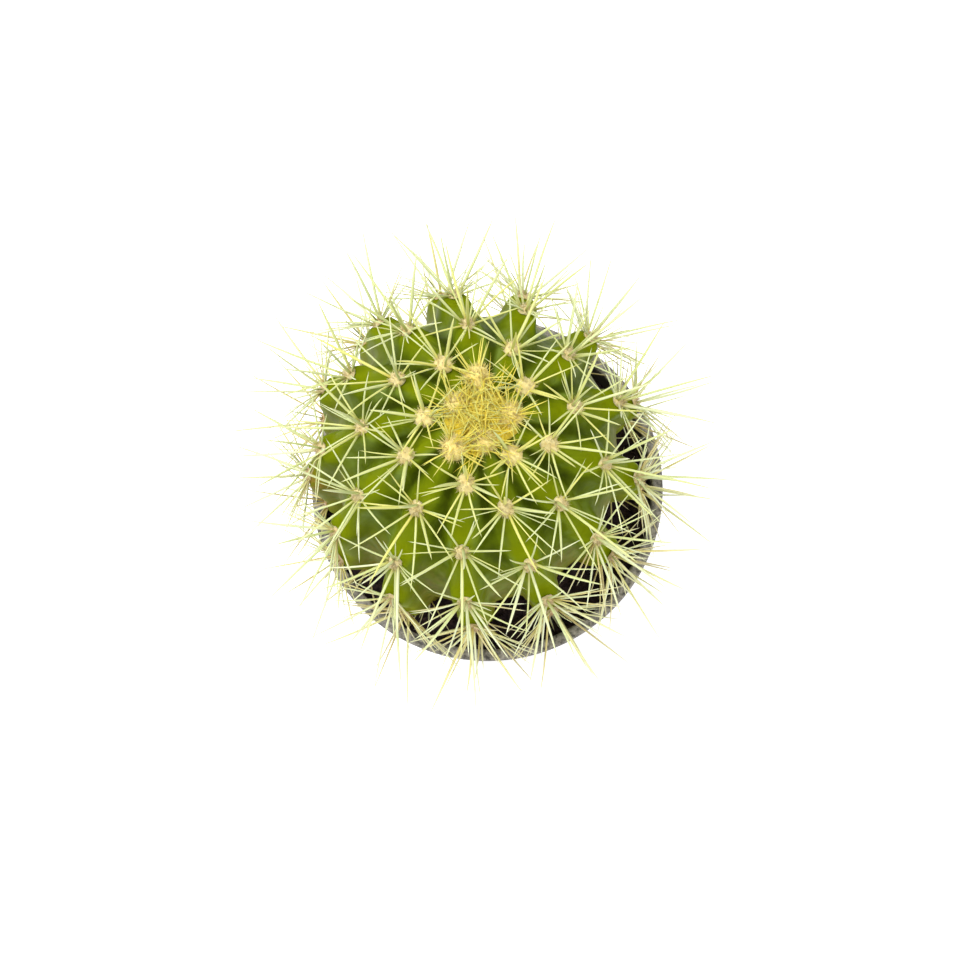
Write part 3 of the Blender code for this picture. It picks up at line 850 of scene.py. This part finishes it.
def spine_tips(node, middle):
    """The points of a CAD cluster's spines: its corners that stand well off its pad."""
    found = []
    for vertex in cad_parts[node].data.vertices:
        if (vertex.co - middle).length < 2.0 * PAD_RADIUS:
            continue
        if all((vertex.co - tip).length > MM for tip in found):
            found.append(vertex.co.copy())
    return found


def add_spine(sheaf, axes, tip, age, thick):
    """One spine from the wool pad to its point, a little bowed, thick then tapering."""
    local = axes.inverted() @ tip
    heading = Vector((local.x, local.y, 0.0))
    root_reach = min(ROOT_SPREAD, heading.length * ROOT_SHARE)
    root = heading.normalized() * root_reach if heading.length > 1e-6 else heading
    root.z = ROOT_HEIGHT
    start = axes @ root
    length = (tip - start).length
    rotation = axes.to_3x3()
    bow = (rotation @ UP) * length * rng.uniform(-0.01, 0.035)
    sideways = rotation @ Vector((-local.y, local.x, 0.0)).normalized()
    bow += sideways * length * rng.uniform(-0.02, 0.02)
    line, radii = [], []
    for step in range(SPINE_STEPS + 1):
        share = step / SPINE_STEPS
        line.append(start.lerp(tip, share) + bow * 4.0 * share * (1.0 - share))
        radii.append(thick * (1.0 - SPINE_TAPER * share ** TAPER_POWER))
    sheaf.tube(line, radii, age)


def add_wool(sheaf, axes, radius, height, age, hairs, reach_out=None, curling=1.0):
    """A pad of wool: a rough dome with short soft hairs standing out of it."""
    shape = Matrix.Diagonal((radius, radius * PAD_OVAL, height, 1.0))
    sheaf.lump(axes @ shape, age, roughness=0.3, seed=rng.uniform(0.0, 99.0), across=20, up=10)
    reach_out = reach_out or radius
    for _ in range(hairs):
        out = pointing(rng.uniform(0.0, FULL_TURN), rng.uniform(0.1, 1.4))
        start = Vector((out.x * radius * HAIR_ROOT, out.y * radius * HAIR_ROOT,
                        out.z * height * HAIR_ROOT))
        curl = Vector((rng.uniform(-1, 1), rng.uniform(-1, 1), rng.uniform(-0.4, 0.8)))
        curl *= curling
        reach = reach_out * rng.uniform(0.25, 0.65)
        line = [start, start + out * reach * 0.6 + curl * reach * 0.12,
                start + out * reach + curl * reach * 0.35]
        sheaf.tube([axes @ spot for spot in line], HAIR_RADII, age, HAIR_SIDES)


def areole_age(index):
    """Near 0 for the youngest areole and 1 for the oldest."""
    return clamp((index + FIRST_AGE) / (AREOLES + RIBS))


def vary(age):
    """An age moved a little, so that neighbouring spines differ in tone."""
    return max(YOUNGEST_TONE, min(1.0, age + rng.uniform(-TONE_SPREAD, TONE_SPREAD)))


def clears_pot(start, tip):
    """True where a spine's whole path stays off the potting mix and the pot."""
    for step in range(1, PATH_STEPS + 1):
        point = start.lerp(tip, step / PATH_STEPS)
        reach = math.hypot(point.x, point.y)
        if reach > LIP_RADIUS + SPINE_ROOM or point.z > POT_HEIGHT + SPINE_ROOM:
            continue
        if reach > LIP_RADIUS - LIP_WIDTH - SPINE_ROOM or point.z < SOIL_TOP + SPINE_ROOM:
            return False
    return True


def make_areole(index, horn, wool):
    """The spines and wool of one areole, in the places of its CAD cluster."""
    theta, phi, rib, row = areole(index)
    label = f"rib{rib + 1:02d}_{row + 1}"
    node = "spine_cluster_" + label
    axes = areole_frame(theta, phi)
    middle = axes @ Vector((0.0, 0.0, 0.5 * PAD_HEIGHT))
    age = areole_age(index)
    spines, pad = Sheaf(), Sheaf()
    outward = axes.to_3x3() @ UP
    for tip in spine_tips(node, middle):
        rise = (tip - middle).normalized().dot(outward)
        thick = CENTRAL_RADIUS if rise > CENTRAL_RISE else SPINE_RADIUS
        thick *= 1.0 - OLD_THINNING * age * age
        longer = rng.uniform(0.98, 1.1) + OLD_LENGTHENING * age * age
        sway = Vector([rng.uniform(-SPINE_SWAY, SPINE_SWAY) for _ in range(3)])
        grown = middle + Euler(sway).to_matrix() @ (tip - middle) * longer
        if clears_pot(middle, grown):
            tip = grown
        add_spine(spines, axes, tip, vary(age), thick * rng.uniform(0.8, 1.1))
    for _ in range(EXTRA_SPINES):
        heading = rng.uniform(0.0, FULL_TURN)
        tip = clear_tip(axes, heading, math.radians(rng.uniform(10.0, 45.0)),
                        rng.uniform(10.0, 19.0) * MM)
        add_spine(spines, axes, tip, vary(age), SPINE_RADIUS * rng.uniform(0.5, 0.8))
    for turn in range(SIDEWAYS_SPINES if row >= FIRST_CROWDED_ROW else 0):
        heading = math.radians(rng.uniform(40.0, 105.0)) * (1.0 if turn % 2 else -1.0)
        tip = clear_tip(axes, heading, math.radians(rng.uniform(8.0, 38.0)),
                        rng.uniform(14.0, 24.0) * MM)
        add_spine(spines, axes, tip, vary(0.95), SPINE_RADIUS * rng.uniform(0.5, 0.8))
    spines.finish("spines_" + label, horn, "spine_straw", node)
    young = max(0.0, 1.0 - index / RIBS)
    add_wool(pad, axes, PAD_RADIUS * (1.0 + YOUNG_PAD_WIDER * young),
             PAD_HEIGHT * (1.0 + YOUNG_PAD_TALLER * young), age, PAD_HAIRS)
    pad.finish("wool_" + label, wool, "areole_wool")


def clear_tip(axes, heading, rise, length):
    """A spine's point that clears the potting mix and the pot, found by lifting the spine."""
    for _ in range(LIFT_TRIES):
        tip = axes @ (pointing(heading, rise) * length)
        if clears_pot(axes.translation, tip):
            return tip
        rise += LIFT_STEP
        length *= LIFT_SHORTENING
    return axes @ (UP * STUB_LENGTH)


def make_low_areole(index, horn, wool):
    """An areole of the lowest turn, half hidden between the globe and the pot."""
    theta, phi, rib, row = areole(index)
    axes = areole_frame(theta, phi)
    spines, pad = Sheaf(), Sheaf()
    for degrees in LOW_STAR:
        heading = math.radians(degrees + rng.uniform(-9.0, 9.0))
        tip = clear_tip(axes, heading, math.radians(rng.uniform(14.0, 34.0)),
                        rng.uniform(13.0, 20.0) * MM)
        add_spine(spines, axes, tip, vary(1.0), SPINE_RADIUS * rng.uniform(0.6, 0.8))
    for degrees in LOW_CENTRALS:
        heading = math.radians(degrees + rng.uniform(-14.0, 14.0))
        tip = clear_tip(axes, heading, math.radians(rng.uniform(38.0, 68.0)),
                        rng.uniform(18.0, 27.0) * MM)
        add_spine(spines, axes, tip, vary(0.9), CENTRAL_RADIUS * rng.uniform(0.6, 0.8))
    label = f"rib{rib + 1:02d}_{row + 1}"
    spines.finish("spines_" + label, horn, "spine_straw")
    add_wool(pad, axes, PAD_RADIUS * 0.9, PAD_HEIGHT * 0.8, 1.0, LOW_PAD_HAIRS)
    pad.finish("wool_" + label, wool, "areole_wool")


def make_crown(horn, wool):
    """The woolly growing point: young areoles closing over it and a thatch of needles."""
    pads, needles = Sheaf(), Sheaf()
    top = stem_point(0.0, 0.0)
    dome = Matrix.Translation(top + UP * CROWN_LIFT)
    add_wool(pads, dome, CROWN_RADIUS, CROWN_HEIGHT, CROWN_AGE, CROWN_HAIRS,
             CROWN_HAIR_REACH, CROWN_CURL)
    for index in YOUNG_AREOLES:
        theta, phi = areole(index)[:2]
        axes = Matrix.Translation(UP * MM) @ areole_frame(max(theta, INNERMOST_ANGLE), phi)
        inward = top - axes.translation
        add_wool(pads, axes, rng.uniform(3.2, 4.0) * MM, YOUNG_HEIGHT, rng.uniform(0.03, 0.1),
                 YOUNG_HAIRS, YOUNG_HAIR_REACH, CROWN_CURL)
        for _ in range(YOUNG_NEEDLES):
            aim = pointing(rng.uniform(0.0, FULL_TURN), math.radians(rng.uniform(8.0, 62.0)))
            tip = axes @ (aim * (rng.uniform(6.0, 10.0) + 7.0 * aim.z) * MM)
            add_spine(needles, axes, tip, rng.uniform(0.04, 0.11),
                      SPINE_RADIUS * rng.uniform(0.4, 0.65))
        for _ in range(LEANING_NEEDLES):
            spot = axes.translation + Vector([rng.uniform(-2.4, 2.4) * MM for _ in range(3)])
            run = inward.normalized() * rng.uniform(8.0, 15.0) * MM
            run += Vector([rng.uniform(-5.0, 5.0) * MM for _ in range(2)] +
                          [rng.uniform(2.0, 7.0) * MM])
            line = [spot, spot + run * 0.6, spot + run]
            needles.tube(line, LEANING_RADII, rng.uniform(0.0, 0.06), NEEDLE_SIDES)
    for _ in range(LOOSE_NEEDLES):
        turn = rng.uniform(0.0, FULL_TURN)
        reach = CROWN_RADIUS * math.sqrt(rng.random())
        spot = top + Vector((reach * math.cos(turn), reach * math.sin(turn), 1.6 * MM))
        lie = rng.uniform(0.0, FULL_TURN)
        run = Vector((math.cos(lie), math.sin(lie), rng.uniform(0.1, 0.7)))
        tip = spot + run * rng.uniform(6.0, 12.0) * MM
        line = [spot, spot.lerp(tip, 0.6), tip]
        needles.tube(line, LOOSE_RADII, rng.uniform(0.0, 0.06), NEEDLE_SIDES)
    pads.finish("crown_wool", wool, "crown_wool", "crown_tuft")
    needles.finish("crown_needles", horn, "spine_straw")


# ---------------------------------------------------------------- studio

def make_studio(acrylic):
    """A white floor, an even white surround, two soft lights and the camera."""
    floor_mesh = bpy.data.meshes.new("paper_floor")
    half = FLOOR_SIZE / 2.0
    floor_mesh.from_pydata(
        [(-half, -half, 0.0), (half, -half, 0.0), (half, half, 0.0), (-half, half, 0.0)],
        [], [(0, 1, 2, 3)])
    floor_mesh.materials.append(acrylic)
    floor = put_in_scene("paper_floor", floor_mesh)

    world = bpy.data.worlds.new("studio_white")
    world.use_nodes = True
    tree = world.node_tree
    direction = add(tree, "ShaderNodeTexCoord").outputs["Generated"]
    height = add(tree, "ShaderNodeSeparateXYZ", {"Vector": direction}).outputs["Z"]
    level = add(tree, "ShaderNodeMapRange", {"Value": height},
                {"From Max": 0.9, "To Min": HORIZON_LIGHT, "To Max": OVERHEAD_LIGHT})
    tree.links.new(level.outputs["Result"], tree.nodes["Background"].inputs["Strength"])
    tree.nodes["Background"].inputs["Color"].default_value = (1.0, 1.0, 1.0, 1.0)
    bpy.context.scene.world = world

    for name, place, width, watts in SOFTBOXES:
        light = bpy.data.lights.new(name, "AREA")
        light.shape = "SQUARE"
        light.size = width
        light.energy = watts
        lamp = put_in_scene(name, light)
        lamp.location = place
        aim = UP * POT_HEIGHT - Vector(place)
        lamp.rotation_euler = aim.to_track_quat("-Z", "Y").to_euler()

    lens = bpy.data.cameras.new("studio_camera")
    lens.sensor_width = 36.0
    lens.lens = CAMERA_LENS
    lens.clip_start = 0.05
    camera = put_in_scene("studio_camera", lens)
    back = Vector((0.0, -math.cos(CAMERA_ELEVATION), math.sin(CAMERA_ELEVATION)))
    camera.location = CAMERA_AIM + back * CAMERA_DISTANCE
    camera.rotation_euler = (-back).to_track_quat("-Z", "Y").to_euler()
    bpy.context.scene.camera = camera
    bpy.context.scene.view_settings.view_transform = "Standard"


def main():
    """Make the materials, the studio and every piece, always in the same order."""
    plastic, soil, skin = polypropylene(), peat(), plant_skin()
    horn, wool = spine_horn(), plant_wool()
    make_studio(backlit_acrylic())
    make_pot(plastic)
    make_soil(soil)
    make_crumbs(soil)
    make_stem(skin)
    for index in range(AREOLES):
        make_areole(index, horn, wool)
    for index in LOW_AREOLES:
        make_low_areole(index, horn, wool)
    make_crown(horn, wool)


main()
